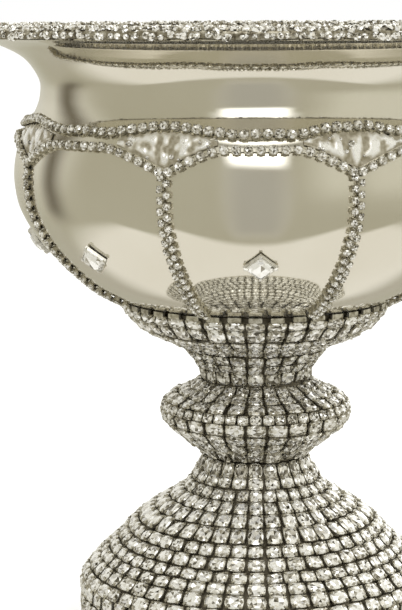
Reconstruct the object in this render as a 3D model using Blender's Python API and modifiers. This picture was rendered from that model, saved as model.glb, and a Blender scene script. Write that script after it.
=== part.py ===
"""Footed cup trophy: a lobed mirror bowl on a crystal-set stem and foot, clamped by one tie rod.

The axis of the cup is +Z, with the origin in the middle of the underside. Angles round the cup
are counted from the front, which faces -Y, and grow towards +X.
"""

import math

import bmesh
import bpy
from mathutils import Matrix, Vector

MM = 0.001
GAP = 0.3  # clearance between touching pieces, in mm like every size below

# Bowl: outer skin from the lip to the floor, as radius and height
BOWL_OUTLINE = (
    (97.0, 205.6), (90.0, 204.3), (83.6, 202.3), (76.8, 198.3), (72.4, 192.0), (71.9, 187.0),
    (73.4, 181.6), (78.4, 172.7), (80.6, 164.0), (80.6, 155.7), (78.2, 146.9), (70.9, 135.7),
    (59.2, 125.2), (44.6, 117.4),
)
BOWL_WALL = 1.5
BOWL_FLOOR = 116.9
SPAN_STEPS = 2

# Eight convex panels, wide and narrow in turn, with a crease between neighbours
PANELS = 8
FIRST_CREASE = 22.6
NARROW_PANEL = 43.0
WIDE_PANEL = 47.0
STEPS_PER_PANEL = 6
LOBE_DEPTH = 2.0
LOBE_POWER = 2.2
LOBE_TOP = (178.0, 168.0)
LOBE_BOTTOM = (118.0, 130.0)

# Rim band: a mound over the lip with a short skirt, its lower edge cut in scallops
RIM_RADIUS = 99.4
RIM_CREST = (95.4, 210.2)
RIM_INNER = 91.0
RIM_SKIRT = 1.7
SKIRT_ABOVE_LIP = 0.8
SCALLOPS = 16
SCALLOP_DEPTH = 0.6
RIM_STEPS = 64

# Chains of set stones on the bowl
TOP_CHAIN_HEIGHT = 177.0
TOP_CHAIN_RISE = 2.1
TOP_CHAIN_RADIUS = 1.4
TOP_CHAIN_STEPS = 64
CHAIN_STANDOFF = 0.45
ARCH_HEIGHT = 172.5
ARCH_DROP = 7.4
ARCH_FLAT = 8.5
ARCH_RADIUS = 1.4
SIDE_RADIUS = 1.3
SIDE_FOOT = 120.5
CHAIN_STEPS = 8

# Spandrel plates between the top chain and two arches
SPANDREL_HALF_ANGLE = 12.0
SPANDREL_THICKNESS = 0.8
SPANDREL_LIFT = 0.45
SPANDREL_COLUMNS = 8
SPANDREL_ROWS = 2

# Square crystal in a bezel, one corner up, in the lower half of each panel
JEWEL_HEIGHT = 137.4
BEZEL_CORNER = 5.45
BEZEL_WALL_CORNER = 0.7
BEZEL_LIFT = 0.55
BEZEL_TALL = 1.5

# Outer envelope of the stones on collar, knop and foot, as radius and height
STEM_OUTLINE = (
    (44.6, 116.3), (44.2, 113.6), (39.4, 108.2), (33.0, 104.7), (25.7, 101.6), (21.6, 96.8),
    (19.2, 93.0), (19.5, 90.0), (24.6, 86.9), (30.0, 84.3), (32.2, 80.8), (31.4, 76.0),
    (26.4, 71.4), (20.4, 67.0), (18.6, 63.5), (20.9, 58.9), (24.4, 53.9), (32.3, 48.8),
    (40.5, 43.3), (46.0, 37.5), (54.4, 29.8), (59.0, 23.9), (59.8, 19.0), (59.6, 7.0),
)
STONE_DEPTH = 1.9
STEM_STEPS = 32

# Bands of stone settings, each with its top and bottom height
BANDS = (
    ("collar_band_upper", 116.3, 107.4),
    ("collar_band_lower", 107.0, 94.0),
    ("waist_band_upper", 93.6, 88.2),
    ("knop_band_shoulder", 87.8, 83.4),
    ("knop_band_equator", 83.1, 80.2),
    ("knop_band_belly", 79.9, 75.5),
    ("knop_band_underside", 75.2, 68.0),
    ("waist_band_lower", 67.6, 60.4),
    ("stem_band_flare", 60.0, 53.6),
    ("foot_band_crown", 53.2, 43.5),
    ("foot_band_shoulder", 43.1, 36.6),
    ("foot_band_slope", 36.2, 27.2),
    ("foot_band_edge", 26.8, 18.2),
    ("foot_band_wall", 17.8, 7.0),
)

# Castings under the bands, and where they meet
COLLAR_TOP = 116.6
UPPER_JOINT = 91.2
LOWER_JOINT = 64.2
FOOT_BOTTOM = 7.0
CASTING_WALL = 2.6
BORE_RADIUS = 3.6
COLLAR_WEB = 95.0
FOOT_WEB = 60.0

# Base and fasteners
BASE_RING = (60.2, 55.0, 6.7, 0.9)
BASE_PLATE = (54.6, 4.6, 3.2)
FELT_PAD = (54.4, 2.9, 0.0)
ROD_RADIUS = 2.9
ROD_ENDS = (123.2, 50.5)
WASHER_RADIUS = 9.0
WASHER_TALL = 1.2
NUT_ACROSS_CORNERS = 11.5
NUT_TALL = 3.2

collection = None


def clear_scene():
    for obj in list(bpy.data.objects):
        bpy.data.objects.remove(obj, do_unlink=True)


def make_material(name, color, metallic, roughness, transmission=0.0):
    material = bpy.data.materials.new(name)
    material.use_nodes = True
    shader = material.node_tree.nodes["Principled BSDF"]
    shader.inputs["Base Color"].default_value = (*color, 1.0)
    shader.inputs["Metallic"].default_value = metallic
    shader.inputs["Roughness"].default_value = roughness
    shader.inputs["Transmission Weight"].default_value = transmission
    return material


def mirror_metal(name):
    return make_material(name, (0.80, 0.78, 0.72), 1.0, 0.05)


def setting_metal(name):
    return make_material(name, (0.70, 0.68, 0.62), 1.0, 0.25)


def crystal(name):
    return make_material(name, (0.95, 0.94, 0.90), 0.0, 0.02, 0.6)


def cast_brass(name):
    return make_material(name, (0.45, 0.42, 0.34), 1.0, 0.40)


def zinc_steel(name):
    return make_material(name, (0.62, 0.63, 0.64), 1.0, 0.30)


def felt(name):
    return make_material(name, (0.03, 0.03, 0.03), 0.0, 0.95)


def add_object(name, data, make):
    obj = bpy.data.objects.new(name, data)
    collection.objects.link(obj)
    obj.data.materials.append(make(name))
    return obj


def through(points, steps):
    """A Catmull-Rom curve through the points, with so many steps in each span."""
    points = [Vector(point) for point in points]
    ends = [2 * points[0] - points[1], *points, 2 * points[-1] - points[-2]]
    curve = [points[0]]
    for a, b, c, d in zip(ends, ends[1:], ends[2:], ends[3:]):
        for step in range(1, steps + 1):
            t = step / steps
            curve.append(
                0.5 * (2 * b + (c - a) * t + (2 * a - 5 * b + 4 * c - d) * t**2
                       + (3 * b - a - 3 * c + d) * t**3)
            )
    return curve


def inset(outline, distance):
    """The outline moved towards the inside, where it runs down a piece's outer side."""
    moved = []
    for i, point in enumerate(outline):
        before = outline[max(i - 1, 0)]
        after = outline[min(i + 1, len(outline) - 1)]
        along = (after - before).normalized()
        moved.append(point + Vector((along.y, -along.x)) * distance)
    return moved


def radius_at(outline, height):
    """Where an outline that only goes down passes this height."""
    for upper, lower in zip(outline, outline[1:]):
        if upper.y >= height >= lower.y:
            part = (upper.y - height) / (upper.y - lower.y)
            return upper.x + (lower.x - upper.x) * part
    return outline[0].x if height > outline[0].y else outline[-1].x


def turned(name, loop, steps, make):
    """A closed loop of radius and height, turned round +Z by a Screw modifier."""
    mesh = bpy.data.meshes.new(name)
    edges = [(i, (i + 1) % len(loop)) for i in range(len(loop))]
    mesh.from_pydata([(r * MM, 0, z * MM) for r, z in loop], edges, [])
    obj = add_object(name, mesh, make)
    screw = obj.modifiers.new("turn", "SCREW")
    screw.axis = "Z"
    screw.angle = math.tau
    screw.steps = screw.render_steps = steps
    screw.use_merge_vertices = True
    screw.merge_threshold = 0.00001
    screw.use_smooth_shade = True
    return obj


def baked(obj):
    """Replaces an object's mesh and modifiers with what they evaluate to."""
    graph = bpy.context.evaluated_depsgraph_get()
    mesh = bpy.data.meshes.new_from_object(obj.evaluated_get(graph))
    mesh.transform(obj.matrix_world)
    obj.modifiers.clear()
    obj.data = mesh
    mesh.set_sharp_from_angle(angle=math.radians(35))
    return obj


def ring(name, outer, hole, top, bottom, steps, make):
    """A flat ring of this many sides, with a hole that a rod of this radius passes."""
    inner = hole / math.cos(math.pi / steps)
    loop = [(outer, top), (outer, bottom), (inner, bottom), (inner, top)]
    return turned(name, loop, steps, make)


# The bowl's surface

BOWL_SKIN = through(BOWL_OUTLINE, SPAN_STEPS)


def crease_angles():
    """The angle of each crease, in degrees, going round from the first one."""
    angles, angle = [], FIRST_CREASE
    for panel in range(PANELS):
        angles.append(angle)
        angle += WIDE_PANEL if panel % 2 == 0 else NARROW_PANEL
    return angles


CREASES = crease_angles()


def panel_edges(panel):
    start = CREASES[panel]
    return start, CREASES[panel + 1] if panel + 1 < PANELS else CREASES[0] + 360


def across_panel(angle):
    """How far an angle lies from its panel's middle, from -1 to 1 at the creases."""
    turned_angle = (angle - FIRST_CREASE) % 360 + FIRST_CREASE
    for panel in range(PANELS):
        start, end = panel_edges(panel)
        if start <= turned_angle <= end:
            return (turned_angle - start) / (end - start) * 2 - 1
    return 0.0


def ramp(value, start, end):
    part = min(max((value - start) / (end - start), 0.0), 1.0)
    return part * part * (3 - 2 * part)


def lobe_drop(angle, height):
    """How much nearer the axis the skin lies than a plain turned bowl's."""
    fade = ramp(height, *LOBE_TOP) * ramp(height, *LOBE_BOTTOM)
    return LOBE_DEPTH * fade * abs(across_panel(angle)) ** LOBE_POWER


def outward(angle):
    return Vector((math.sin(math.radians(angle)), -math.cos(math.radians(angle)), 0))


def skin_slope(height, reach=0.5):
    """The unit normal of the plain turned bowl, as its parts away from and along the axis."""
    rise = radius_at(BOWL_SKIN, height + reach) - radius_at(BOWL_SKIN, height - reach)
    return Vector((2 * reach, -rise)).normalized()


def skin_point(angle, height, lift=0.0):
    """A point this far above the bowl's skin, in metres."""
    slope = skin_slope(height)
    radius = radius_at(BOWL_SKIN, height) - lobe_drop(angle, height) + slope.x * lift
    return (outward(angle) * radius + Vector((0, 0, height + slope.y * lift))) * MM


def make_bowl():
    inner = inset(BOWL_SKIN, BOWL_WALL)[::SPAN_STEPS]
    inner = [p for p in inner if p.y > BOWL_FLOOR + BOWL_WALL + 0.4]
    floor_radius = BOWL_OUTLINE[-1][0] - 2.0
    loop = [tuple(p) for p in BOWL_SKIN]
    loop += [(floor_radius, BOWL_FLOOR), (BORE_RADIUS, BOWL_FLOOR)]
    loop += [(BORE_RADIUS, BOWL_FLOOR + BOWL_WALL), (floor_radius, BOWL_FLOOR + BOWL_WALL)]
    loop += [tuple(p) for p in reversed(inner)]
    bowl = baked(turned("bowl_shell", loop, PANELS * STEPS_PER_PANEL, mirror_metal))
    press_panels(bowl.data)


def press_panels(mesh):
    """Moves a turned mesh's meridians to the panels' own and draws the creases in."""
    per_panel = 360 / PANELS
    for vertex in mesh.vertices:
        x, y, z = vertex.co
        plain = (math.degrees(math.atan2(x, -y)) + 0.001) % 360
        panel = int(plain // per_panel)
        start, end = panel_edges(panel)
        angle = start + (end - start) * (plain % per_panel) / per_panel
        radius = math.hypot(x, y)
        if radius > BORE_RADIUS * 2 * MM:
            radius -= lobe_drop(angle, z / MM) * MM
        vertex.co = outward(angle) * radius + Vector((0, 0, z))


def make_rim():
    lip_under = BOWL_OUTLINE[0][1]
    lip_over = lip_under + BOWL_WALL
    skirt_bottom = lip_under + SKIRT_ABOVE_LIP
    crest_radius, crest = RIM_CREST
    loop = [
        (RIM_INNER, lip_over + 0.8), (crest_radius - 2.2, crest - 0.5), RIM_CREST,
        (RIM_RADIUS - 1.0, crest - 0.9), (RIM_RADIUS, crest - 2.0),
        (RIM_RADIUS, skirt_bottom), (RIM_RADIUS - RIM_SKIRT, skirt_bottom),
        (RIM_RADIUS - RIM_SKIRT, lip_over + GAP), (RIM_INNER, lip_over - 0.5),
    ]
    rim = baked(turned("rim_band", loop, RIM_STEPS, setting_metal))
    for vertex in rim.data.vertices:
        if vertex.co.z < (skirt_bottom + 0.1) * MM:
            angle = math.atan2(vertex.co.x, -vertex.co.y)
            vertex.co.z -= SCALLOP_DEPTH * MM * (0.5 + 0.5 * math.cos(SCALLOPS * angle))


# Chains, plates and jewels on the bowl


def crease_distance(angle):
    """Degrees from an angle to its nearest crease."""
    return min(abs((angle - crease + 180) % 360 - 180) for crease in CREASES)


def top_chain_height(angle):
    return TOP_CHAIN_HEIGHT + TOP_CHAIN_RISE * (1 - ramp(crease_distance(angle), 2.0, 15.0))


def arch_height(panel, angle):
    start, end = panel_edges(panel)
    middle, half = (start + end) / 2, (end - start) / 2
    beyond = max(abs(angle - middle) - ARCH_FLAT, 0) / (half - ARCH_FLAT)
    return ARCH_HEIGHT - ARCH_DROP * beyond**1.3


def chain_curve(name, points, radii, make, closed=False):
    """A square-sided wire through the points, thicker where its radius is."""
    curve = bpy.data.curves.new(name, "CURVE")
    curve.dimensions = "3D"
    curve.bevel_depth = MM
    curve.bevel_resolution = 0
    curve.use_fill_caps = not closed
    spline = curve.splines.new("POLY")
    spline.points.add(len(points) - 1)
    for point, place, radius in zip(spline.points, points, radii):
        point.co = (*place, 1.0)
        point.radius = radius
    spline.use_cyclic_u = closed
    return add_object(name, curve, make)


def make_top_chain():
    angles = [360 * i / TOP_CHAIN_STEPS for i in range(TOP_CHAIN_STEPS)]
    lift = TOP_CHAIN_RADIUS + CHAIN_STANDOFF
    points = [skin_point(angle, top_chain_height(angle), lift) for angle in angles]
    radii = [TOP_CHAIN_RADIUS] * TOP_CHAIN_STEPS
    chain_curve("top_chain", points, radii, setting_metal, closed=True)


def make_panel_chain(panel):
    """One panel's chain: up the crease where the panel starts and over its arch."""
    start, end = panel_edges(panel)
    arch_foot = ARCH_HEIGHT - ARCH_DROP
    stop = end - math.degrees((ARCH_RADIUS + SIDE_RADIUS + 2 * GAP) / radius_at(BOWL_SKIN, arch_foot))
    side, arch = [], []
    for step in range(CHAIN_STEPS):
        height = SIDE_FOOT + (arch_foot - SIDE_FOOT) * step / (CHAIN_STEPS - 1)
        side.append(skin_point(start, height, SIDE_RADIUS + CHAIN_STANDOFF))
    for step in range(1, CHAIN_STEPS + 1):
        angle = start + (stop - start) * step / CHAIN_STEPS
        arch.append(skin_point(angle, arch_height(panel, angle), ARCH_RADIUS + CHAIN_STANDOFF))
    radii = [SIDE_RADIUS] * len(side) + [ARCH_RADIUS] * len(arch)
    chain_curve(f"panel_chain_{panel + 1}", side + arch, radii, setting_metal)


def make_spandrel(crease_index):
    """A thin plate that fills the corner between the top chain and two arches."""
    crease = CREASES[crease_index]
    name = f"spandrel_{crease_index + 1}"
    bm = bmesh.new()
    bmesh.ops.create_grid(bm, x_segments=SPANDREL_COLUMNS, y_segments=SPANDREL_ROWS, size=1)
    for vert in bm.verts:
        away = vert.co.x * SPANDREL_HALF_ANGLE
        angle = crease + away
        panel = crease_index if away > 0 else (crease_index - 1) % PANELS
        within = angle if away > 0 or crease_index > 0 else angle + 360
        top = top_chain_height(angle) - TOP_CHAIN_RADIUS - 0.6
        tip = 0.9 if abs(vert.co.x) < 0.01 else 0.0
        bottom = min(arch_height(panel, within) + ARCH_RADIUS + 0.7 + tip, top - 0.5)
        height = bottom + (top - bottom) * (vert.co.y + 1) / 2
        vert.co = skin_point(angle, height, SPANDREL_LIFT)
    mesh = bpy.data.meshes.new(name)
    bmesh.ops.recalc_face_normals(bm, faces=bm.faces)
    if bm.faces[:][0].normal.dot(outward(crease)) < 0:
        bmesh.ops.reverse_faces(bm, faces=bm.faces)
    bm.to_mesh(mesh)
    bm.free()
    plate = add_object(name, mesh, setting_metal)
    solidify = plate.modifiers.new("thickness", "SOLIDIFY")
    solidify.thickness = SPANDREL_THICKNESS * MM
    solidify.offset = 1


def jewel_frame(panel):
    """Where a jewel sits: +Z out of the skin and +X down the panel's middle line."""
    angle = sum(panel_edges(panel)) / 2
    slope = skin_slope(JEWEL_HEIGHT, 3.0)
    out = (outward(angle) * slope.x + Vector((0, 0, slope.y))).normalized()
    side = Vector((0, 0, 1)).cross(out).normalized()
    down = side.cross(out).normalized()
    turn = Matrix((down, out.cross(down), out)).transposed().to_4x4()
    return Matrix.Translation(skin_point(angle, JEWEL_HEIGHT)) @ turn


def make_jewel(panel):
    """A square bezel and the square-cut crystal in it, both turned in four steps."""
    place = jewel_frame(panel)
    inner = BEZEL_CORNER - BEZEL_WALL_CORNER
    base, top = BEZEL_LIFT, BEZEL_LIFT + BEZEL_TALL
    bezel = turned(
        f"bezel_{panel + 1}",
        [(inner + 0.3, top), (BEZEL_CORNER, top - 0.5), (BEZEL_CORNER, base), (inner, base)],
        4, setting_metal,
    )
    stone_corner = inner - 0.45
    stone = turned(
        f"square_crystal_{panel + 1}",
        [(0, top + 0.5), (stone_corner * 0.55, top + 0.5), (stone_corner, top - 0.4),
         (stone_corner * 0.55, base + 0.2), (0, base + 0.2)],
        4, crystal,
    )
    for piece in (bezel, stone):
        piece.matrix_world = place
        piece.modifiers["turn"].use_smooth_shade = False


# Stem and foot

STEM_SKIN = [Vector(point) for point in STEM_OUTLINE]
SETTING_BACK = inset(STEM_SKIN, STONE_DEPTH)
CASTING_SKIN = inset(STEM_SKIN, STONE_DEPTH + GAP + 0.1)


def station(height):
    """How far along the stem's outline a height lies, counted in its points."""
    for i, (upper, lower) in enumerate(zip(STEM_SKIN, STEM_SKIN[1:])):
        if upper.y >= height >= lower.y:
            return i + (upper.y - height) / (upper.y - lower.y)
    return 0.0 if height > STEM_SKIN[0].y else float(len(STEM_SKIN) - 1)


def between(curve, first, last):
    """The points of a curve from one station to another, both ends included."""
    stations = [first, *range(math.floor(first) + 1, math.ceil(last)), last]
    points = []
    for place in stations:
        i = min(int(place), len(curve) - 2)
        points.append(curve[i].lerp(curve[i + 1], place - i))
    return points


def make_band(name, top, bottom):
    """A belt of stone settings: its outer side is the envelope of the stones."""
    ends = station(top), station(bottom)
    loop = between(STEM_SKIN, *ends) + between(SETTING_BACK, *ends)[::-1]
    turned(name, [tuple(p) for p in loop], STEM_STEPS, setting_metal)


def casting_outline(top, bottom):
    """The outer side of one casting, with level ends."""
    points = [p for p in CASTING_SKIN if top > p.y > bottom]
    upper = Vector((radius_at(CASTING_SKIN, top), top))
    lower = Vector((radius_at(CASTING_SKIN, bottom), bottom))
    return [upper, *points, lower]


def make_castings():
    collar = casting_outline(COLLAR_TOP, UPPER_JOINT)
    cavity = [p for p in inset(collar, CASTING_WALL) if 114.0 > p.y > COLLAR_WEB]
    rim = (collar[0].x - CASTING_WALL, COLLAR_TOP)
    loop = [tuple(p) for p in collar]
    loop += [(BORE_RADIUS, UPPER_JOINT), (BORE_RADIUS, COLLAR_WEB)]
    loop += [tuple(p) for p in reversed(cavity)] + [rim]
    turned("collar_casting", loop, STEM_STEPS, cast_brass)

    knop = [tuple(p) for p in casting_outline(UPPER_JOINT - GAP, LOWER_JOINT)]
    loop = [(BORE_RADIUS, knop[0][1]), *knop, (BORE_RADIUS, knop[-1][1])]
    turned("knop_casting", loop, STEM_STEPS, cast_brass)

    foot = casting_outline(LOWER_JOINT - GAP, FOOT_BOTTOM)
    cavity = [p for p in inset(foot, CASTING_WALL) if FOOT_WEB - 2 > p.y > FOOT_BOTTOM + 1]
    edge = (foot[-1].x - CASTING_WALL, FOOT_BOTTOM)
    loop = [(BORE_RADIUS, foot[0].y)] + [tuple(p) for p in foot]
    loop += [edge] + [tuple(p) for p in reversed(cavity)]
    loop += [(WASHER_RADIUS + 1, FOOT_WEB), (BORE_RADIUS, FOOT_WEB)]
    turned("foot_casting", loop, STEM_STEPS, cast_brass)


def make_base():
    outer, inner, top, bottom = BASE_RING
    loop = [(outer - 0.8, top), (outer, top - 0.8), (outer, bottom + 0.8), (outer - 0.8, bottom),
            (inner, bottom), (inner, top)]
    turned("base_ring", loop, STEM_STEPS, mirror_metal)
    for name, (radius, top, bottom), make in (
        ("base_plate", BASE_PLATE, zinc_steel), ("felt_pad", FELT_PAD, felt),
    ):
        turned(name, [(0, top), (radius, top), (radius, bottom), (0, bottom)], STEM_STEPS, make)


def make_fasteners():
    top, bottom = ROD_ENDS
    turned("tie_rod", [(0, top), (ROD_RADIUS, top), (ROD_RADIUS, bottom), (0, bottom)], 12, zinc_steel)
    bowl_seat = BOWL_FLOOR + BOWL_WALL + GAP
    foot_seat = FOOT_WEB - GAP - WASHER_TALL
    bore = ROD_RADIUS + GAP
    ring("bowl_washer", WASHER_RADIUS, bore, bowl_seat + WASHER_TALL, bowl_seat, 24, zinc_steel)
    ring("foot_washer", WASHER_RADIUS, bore, foot_seat + WASHER_TALL, foot_seat, 24, zinc_steel)
    nut_seat = bowl_seat + WASHER_TALL + GAP
    half = NUT_ACROSS_CORNERS / 2
    for name, low in (("bowl_nut", nut_seat), ("foot_nut", foot_seat - GAP - NUT_TALL)):
        nut = ring(name, half, bore, low + NUT_TALL, low, 6, zinc_steel)
        nut.modifiers["turn"].use_smooth_shade = False


def main():
    global collection
    clear_scene()
    collection = bpy.data.collections.new("cup_trophy")
    bpy.context.scene.collection.children.link(collection)
    make_bowl()
    make_rim()
    make_top_chain()
    for panel in range(PANELS):
        make_panel_chain(panel)
        make_spandrel(panel)
        make_jewel(panel)
    for band in BANDS:
        make_band(*band)
    make_castings()
    make_base()
    make_fasteners()


main()
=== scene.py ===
"""The looks of a footed cup trophy: a lobed mirror bowl on a stem and foot set with cut crystals.

Lengths are in millimetres until a mesh is made. Angles round the cup are in degrees, counted from
the front, which faces -Y, and grow towards +X. Heights are above the felt's underside.
"""

import math

import bmesh
import bpy
import numpy as np
from mathutils import Euler, Matrix, Vector


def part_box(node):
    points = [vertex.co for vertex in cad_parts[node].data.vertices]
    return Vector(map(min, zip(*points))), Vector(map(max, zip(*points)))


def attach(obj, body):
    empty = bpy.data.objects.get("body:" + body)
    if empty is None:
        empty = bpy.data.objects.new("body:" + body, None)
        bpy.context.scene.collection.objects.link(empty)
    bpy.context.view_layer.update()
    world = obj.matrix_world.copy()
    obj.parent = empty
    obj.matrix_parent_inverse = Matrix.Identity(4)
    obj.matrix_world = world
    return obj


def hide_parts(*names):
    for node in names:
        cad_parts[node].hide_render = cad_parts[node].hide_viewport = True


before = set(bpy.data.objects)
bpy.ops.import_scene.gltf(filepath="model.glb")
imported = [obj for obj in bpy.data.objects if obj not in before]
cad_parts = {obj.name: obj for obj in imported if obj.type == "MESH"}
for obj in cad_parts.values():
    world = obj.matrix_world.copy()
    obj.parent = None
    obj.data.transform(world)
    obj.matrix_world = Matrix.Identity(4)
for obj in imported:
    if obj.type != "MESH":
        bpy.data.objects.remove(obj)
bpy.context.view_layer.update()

MM = 0.001
SEED = 653
UP = np.array([0.0, 0.0, 1.0])

# The bowl, as in the CAD model: outer skin from the lip to the floor, as radius and height
BOWL_OUTLINE = (
    (97.0, 205.6), (90.0, 204.3), (83.6, 202.3), (76.8, 198.3), (72.4, 192.0), (71.9, 187.0),
    (73.4, 181.6), (78.4, 172.7), (80.6, 164.0), (80.6, 155.7), (78.2, 146.9), (70.9, 135.7),
    (59.2, 125.2), (44.6, 117.4),
)
BOWL_WALL = 1.5
BOWL_FLOOR = 116.9
BOWL_STEPS = 8
COLUMNS_PER_PANEL = 26
PANELS = 8
FIRST_CREASE = 22.6
NARROW_PANEL = 43.0
WIDE_PANEL = 47.0
LOBE_DEPTH = 2.0
LOBE_POWER = 2.2
LOBE_TOP = (178.0, 168.0)
LOBE_BOTTOM = (118.0, 130.0)
BORE_RADIUS = 3.6

# The rim band: a mound over the lip with a short skirt
RIM_RADIUS = 99.4
RIM_CREST = (95.4, 210.2)
RIM_INNER = 91.0
RIM_SKIRT = 1.7
SKIRT_ABOVE_LIP = 0.8
SCALLOPS = 16
SCALLOP_DEPTH = 0.6
RIM_COLUMNS = 384
RIM_STONE_DEPTH = 0.95
RIM_ROW_PITCH = 1.85
RIM_STONE_PITCH = 2.3

# Chains, plates and jewels on the bowl
TOP_CHAIN_HEIGHT = 177.0
TOP_CHAIN_RISE = 2.1
TOP_CHAIN_STONE = 3.2
CHAIN_PITCH = 3.55
CHAIN_TALL = 2.0
CHAIN_STANDOFF = 0.12
ARCH_HEIGHT = 172.5
ARCH_DROP = 7.4
ARCH_FLAT = 8.5
ARCH_STONE = 3.0
ARCH_END_GAP = 1.6
SIDE_STONE = 2.45
SIDE_PITCH = 1.7
SIDE_TALL = 1.8
SIDE_SPACING = 0.82
SIDE_LEAN = 13.0
SIDE_FOOT = 118.5
SIDE_STOP = 0.9
SPANDREL_HALF_ANGLE = 12.0
SPANDREL_LIFT = 0.3
SPANDREL_THICKNESS = 0.8
SPANDREL_STONES = 12
FLUTE_PITCH = 4.3
JEWEL_HEIGHT = 137.4
BEZEL_CORNER = 5.45
BEZEL_LIFT = 0.55
# The bezel's section as (share of the corner's reach, height): low, with a double edge
BEZEL_LEVELS = (
    (0.80, -0.35), (1.0, -0.35), (0.985, 0.2), (0.955, 0.62), (0.935, 0.60), (0.925, 0.48),
    (0.912, 0.86), (0.885, 0.95), (0.865, 0.88), (0.855, 0.5),
)
JEWEL_SHARE = 0.86
JEWEL_LIFT = 0.8
JEWEL_CROWN = 1.25
JEWEL_SHARES = (0.80, 0.06)

# Outer envelope of the stones on collar, knop and foot, as radius and height
STEM_OUTLINE = (
    (44.6, 116.3), (44.2, 113.6), (39.4, 108.2), (33.0, 104.7), (25.7, 101.6), (21.6, 96.8),
    (19.2, 93.0), (19.5, 90.0), (24.6, 86.9), (30.0, 84.3), (32.2, 80.8), (31.4, 76.0),
    (26.4, 71.4), (20.4, 67.0), (18.6, 63.5), (20.9, 58.9), (24.4, 53.9), (32.3, 48.8),
    (40.5, 43.3), (46.0, 37.5), (54.4, 29.8), (59.0, 23.9), (59.8, 19.0), (59.6, 7.0),
)
SETTING_DEPTH = 2.2

# Each band of stones: its highest and lowest edge, and the height and number of stones of each row
STEM_ROWS = {
    "collar_band_upper": (115.4, 107.9, ((114.2, 40), (110.5, 40))),
    "collar_band_lower": (106.9, 93.7, ((105.9, 40), (103.9, 40), (101.5, 30), (98.5, 24), (95.3, 24))),
    "waist_band_upper": (93.9, 88.0, ((91.8, 20), (89.3, 28))),
    "knop_band_shoulder": (88.1, 83.4, ((87.0, 28), (84.9, 28))),
    "knop_band_equator": (83.2, 80.1, ((81.6, 48),)),
    "knop_band_belly": (79.9, 75.8, ((77.8, 28),)),
    "knop_band_underside": (75.1, 67.7, ((73.5, 26), (70.1, 24))),
    "waist_band_lower": (67.9, 60.1, ((65.8, 20), (62.2, 24))),
    "stem_band_flare": (60.3, 53.4, ((58.4, 24), (55.0, 32))),
    "foot_band_crown": (53.5, 43.4, ((51.9, 34), (49.0, 36), (45.5, 40))),
    "foot_band_shoulder": (43.1, 36.5, ((41.4, 48), (38.4, 44))),
    "foot_band_slope": (36.3, 27.0, ((34.9, 54), (32.1, 50), (29.2, 50))),
    "foot_band_edge": (26.8, 18.1, ((25.0, 54), (20.8, 52))),
    "foot_band_wall": (17.8, 7.2, ((15.9, 56), (12.4, 56), (9.0, 56))),
}
# How far apart two rows of stones stand along the outline
ROW_GAP = {"collar": 0.2, "waist": -0.75, "knop": 0.2, "stem": 0.1, "foot": 0.2}
# How many of the stones' facets are painted as flashes, and how many painted black
# Painted shade: the collar, waist and knop, which lie in the bowl's shade, get fewer flashes and more black
# facets than the stem's flare and the foot
PAINTED_FACET_SHARES = {
    "collar": (0.36, 0.25), "waist": (0.22, 0.38), "knop": (0.42, 0.23), "stem": (0.48, 0.18),
    "foot": (0.62, 0.13),
}
CHAIN_SHARES = (0.38, 0.24)
RIM_SHARES = (0.50, 0.20)
# How much of its place round the row a stone fills
COLUMN_SHARE = 0.875
TAB_COUNT = 40
TAB_HEIGHT = 116.2

# Base and fasteners
BASE_RADIUS = 60.2
BASE_TOP = 6.7
BASE_BOTTOM = 0.9
BASE_INNER = 55.0
FELT_RADIUS = 54.4
FELT_TOP = 2.9
PLATE_RADIUS = 54.6
PLATE_TOP = 4.6
PLATE_BOTTOM = 3.2
ROD_RADIUS = 2.9
ROD_TOP = 123.2
ROD_BOTTOM = 50.5
THREAD_PITCH = 1.0
THREAD_DEPTH = 0.35
WASHER_RADIUS = 9.0
HOLE_RADIUS = ROD_RADIUS + 0.3
NUT_HALF = 5.75

# Camera: where the eye is, how it is turned, pitched and rolled, its lens and shift
EYE = (-2.08, -667.15, 215.43)
CAMERA_TURN = 1.385
CAMERA_PITCH = 4.376
CAMERA_ROLL = -0.228
CAMERA_LENS = 117.29
CAMERA_SHIFT = -0.24


# Materials


def node(tree, kind, inputs=None, **settings):
    """A shader node with its settings, and its inputs set or linked."""
    made = tree.nodes.new(kind)
    for name, value in settings.items():
        setattr(made, name, value)
    for name, value in (inputs or {}).items():
        if isinstance(value, bpy.types.NodeSocket):
            tree.links.new(value, made.inputs[name])
        else:
            made.inputs[name].default_value = value
    return made


def color_ramp(tree, factor, stops):
    """A colour ramp with a stop for each (position, colour)."""
    made = node(tree, "ShaderNodeValToRGB", {"Fac": factor})
    elements = made.color_ramp.elements
    while len(elements) < len(stops):
        elements.new(0.5)
    for element, (position, color) in zip(elements, stops):
        element.position = position
        element.color = (*color, 1.0)
    return made.outputs["Color"]


def value_range(tree, value, low, high):
    """A value from 0 to 1, spread from low to high."""
    return node(tree, "ShaderNodeMapRange", {"Value": value, "To Min": low, "To Max": high}).outputs[0]


def noise(tree, scale, detail=3.0, stretch=None):
    """Noise in the object's own coordinates; scale is in cells a metre."""
    vector = node(tree, "ShaderNodeTexCoord").outputs["Object"]
    if stretch:
        vector = node(tree, "ShaderNodeMapping", {"Vector": vector, "Scale": stretch}).outputs[0]
    inputs = {"Vector": vector, "Scale": scale, "Detail": detail}
    return node(tree, "ShaderNodeTexNoise", inputs).outputs["Fac"]


def bump(tree, height, strength, distance):
    inputs = {"Height": height, "Strength": strength, "Distance": distance}
    return node(tree, "ShaderNodeBump", inputs).outputs["Normal"]


def math_node(tree, operation, first, second=0.0, third=0.0):
    inputs = {0: first, 1: second, 2: third}
    return node(tree, "ShaderNodeMath", inputs, operation=operation).outputs[0]


def new_material(name, values):
    """A material with its shader's plain values set, and its node tree."""
    material = bpy.data.materials.new(name)
    material.use_nodes = True
    for name, value in values.items():
        material.node_tree.nodes["Principled BSDF"].inputs[name].default_value = value
    return material, material.node_tree


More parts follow.
